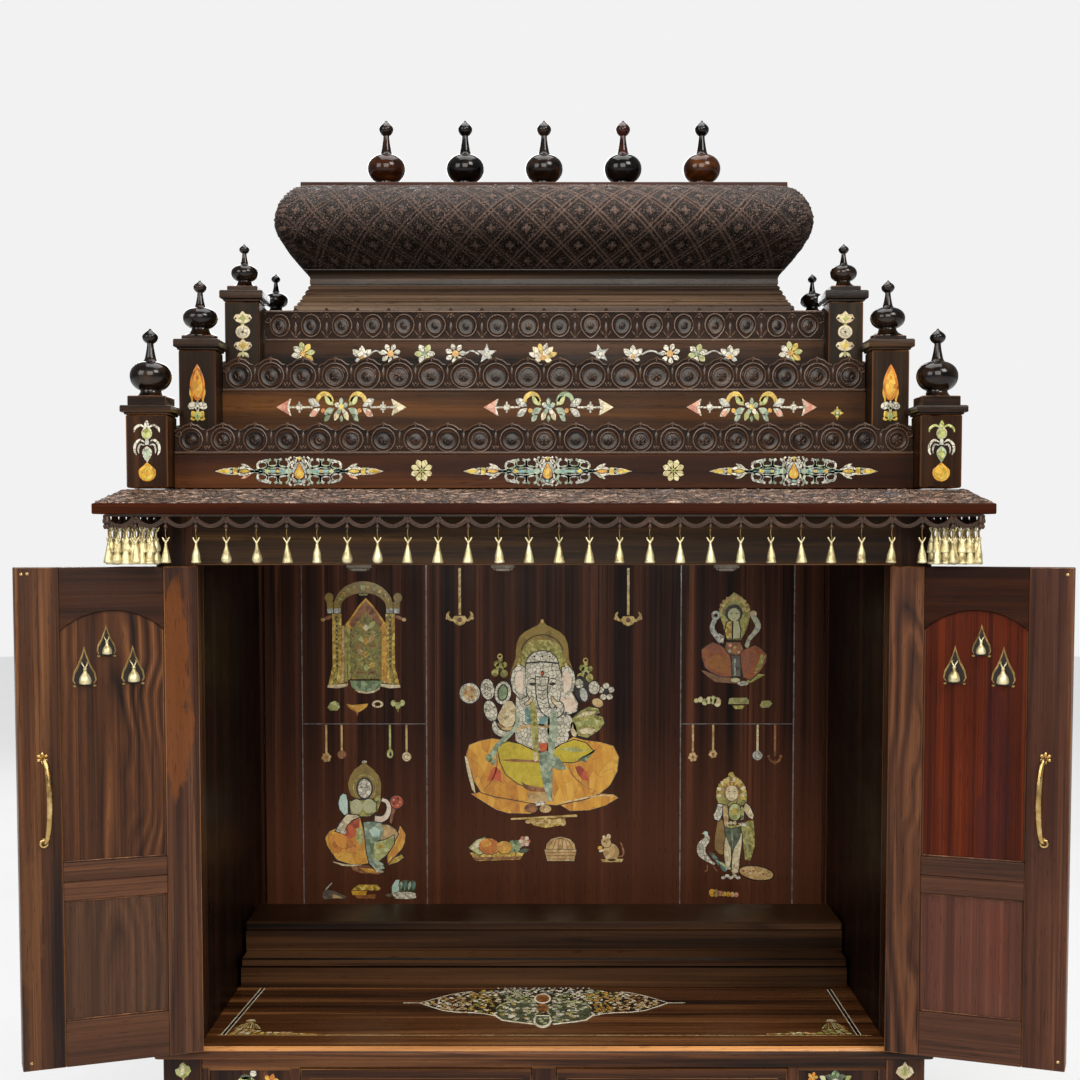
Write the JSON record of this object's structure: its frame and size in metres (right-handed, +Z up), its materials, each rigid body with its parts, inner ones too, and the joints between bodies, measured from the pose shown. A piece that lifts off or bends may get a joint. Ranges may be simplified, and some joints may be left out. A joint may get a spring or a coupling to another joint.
{
  "type": "home temple",
  "caption": "Carved rosewood home temple: folding doors, step platform, drawers, bell valance, stepped tiers with newels and a bombe roof with kalash finials.",
  "frame": {"origin": "on the ground at the middle of the bounding box", "axes": "+X to the viewer's right when facing the open doors, +Y from front to back, +Z up"},
  "size_m": [1.3174, 0.6408, 1.4171],
  "materials": {
    "rosewood": "oiled, straight dark stripes with orange sapwood streaks",
    "rosewood_red": "oiled reddish rosewood",
    "carved_rosewood": "dark stained carving, waxed",
    "turned_rosewood": "turned and french polished",
    "brass": "cast and polished"
  },
  "bodies": {
    "cabinet": {"base_end_left": "rosewood", "base_end_right": "rosewood", "base_back_panel": "rosewood", "base_bottom_board": "rosewood", "base_front_frame": "rosewood", "base_top_board": "rosewood", "cabinet_post_front_left": "rosewood", "cabinet_post_front_right": "rosewood", "cabinet_post_back_left": "rosewood", "cabinet_post_back_right": "rosewood", "cabinet_side_left": "rosewood", "cabinet_side_right": "rosewood", "cabinet_back_panel": "rosewood_red", "head_beam": "rosewood", "step_platform": "rosewood", "eave_board": "carved_rosewood", "eave_valance": "carved_rosewood", "tier_lower": "rosewood", "tier_middle": "rosewood", "tier_upper": "rosewood", "gallery_lower_front": "carved_rosewood", "gallery_lower_left": "carved_rosewood", "gallery_lower_right": "carved_rosewood", "newel_lower_front_left": "turned_rosewood", "newel_lower_front_right": "turned_rosewood", "newel_lower_back_left": "turned_rosewood", "newel_lower_back_right": "turned_rosewood", "gallery_middle_front": "carved_rosewood", "gallery_middle_left": "carved_rosewood", "gallery_middle_right": "carved_rosewood", "newel_middle_front_left": "turned_rosewood", "newel_middle_front_right": "turned_rosewood", "newel_middle_back_left": "turned_rosewood", "newel_middle_back_right": "turned_rosewood", "gallery_upper_front": "carved_rosewood", "gallery_upper_left": "carved_rosewood", "gallery_upper_right": "carved_rosewood", "newel_upper_front_left": "turned_rosewood", "newel_upper_front_right": "turned_rosewood", "newel_upper_back_left": "turned_rosewood", "newel_upper_back_right": "turned_rosewood", "roof_plinth": "carved_rosewood", "roof_bombe": "carved_rosewood", "roof_ridge_board": "carved_rosewood", "roof_finial_1": "turned_rosewood", "roof_finial_2": "turned_rosewood", "roof_finial_3": "turned_rosewood", "roof_finial_4": "turned_rosewood", "roof_finial_5": "turned_rosewood"},
    "left_hinge_leaf": {"door_left_hinge_leaf": "rosewood"},
    "left_fold_leaf": {"door_left_fold_leaf": "rosewood", "door_handle_left": "brass"},
    "right_hinge_leaf": {"door_right_hinge_leaf": "rosewood"},
    "right_fold_leaf": {"door_right_fold_leaf": "rosewood_red", "door_handle_right": "brass"},
    "left_drawer": {"drawer_left": "rosewood", "drawer_pull_left": "brass"},
    "right_drawer": {"drawer_right": "rosewood", "drawer_pull_right": "brass"}
  },
  "joints": [
    {"name": "left_door_hinge", "type": "hinge", "parent": "cabinet", "child": "left_hinge_leaf", "pos_m": [-0.45, -0.1971, 0.475], "axis": [0, 0, 1], "range_deg": [-12, 159]},
    {"name": "left_door_fold", "type": "hinge", "parent": "left_hinge_leaf", "child": "left_fold_leaf", "pos_m": [-0.65285, -0.29371, 0.475], "axis": [0, 0, 1], "range_deg": [-180, 0]},
    {"name": "left_drawer_slide", "type": "slide", "parent": "cabinet", "child": "left_drawer", "axis": [0, -1, 0], "range_m": [0, 0.33]},
    {"name": "right_door_hinge", "type": "hinge", "parent": "cabinet", "child": "right_hinge_leaf", "pos_m": [0.45, -0.1971, 0.475], "axis": [0, 0, 1], "range_deg": [-159, 12]},
    {"name": "right_door_fold", "type": "hinge", "parent": "right_hinge_leaf", "child": "right_fold_leaf", "pos_m": [0.65285, -0.29371, 0.475], "axis": [0, 0, 1], "range_deg": [0, 180]},
    {"name": "right_drawer_slide", "type": "slide", "parent": "cabinet", "child": "right_drawer", "axis": [0, -1, 0], "range_m": [0, 0.33]}
  ]
}
